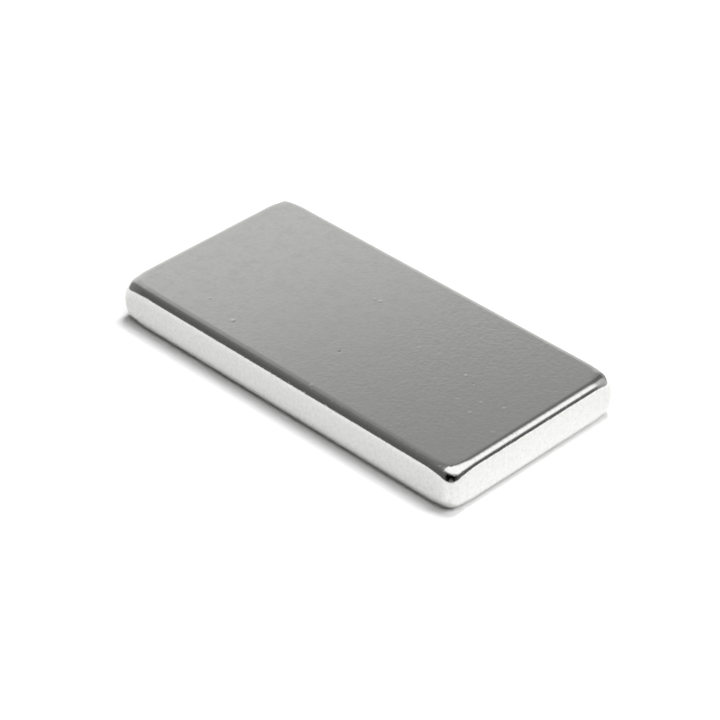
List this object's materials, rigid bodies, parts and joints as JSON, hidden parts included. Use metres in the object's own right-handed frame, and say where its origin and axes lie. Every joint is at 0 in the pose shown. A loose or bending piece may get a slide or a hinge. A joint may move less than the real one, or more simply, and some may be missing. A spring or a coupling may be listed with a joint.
{
  "type": "block magnet",
  "caption": "Flat rectangular magnet, twice as long as wide and thin for its size, with bright plating and rounded edges and corners.",
  "frame": {"origin": "middle of the lower pole face, on the surface that the magnet rests on", "axes": "+X along the length, +Y across the width, +Z through the thickness, from the lower pole face to the upper one"},
  "size_m": [0.04, 0.02, 0.0042],
  "materials": {
    "nickel_plating": "bright nickel plating over a tumbled surface: polished, with a fine orange peel and a few tiny specks"
  },
  "bodies": {
    "root": {"magnet": "nickel_plating"}
  },
  "joints": []
}
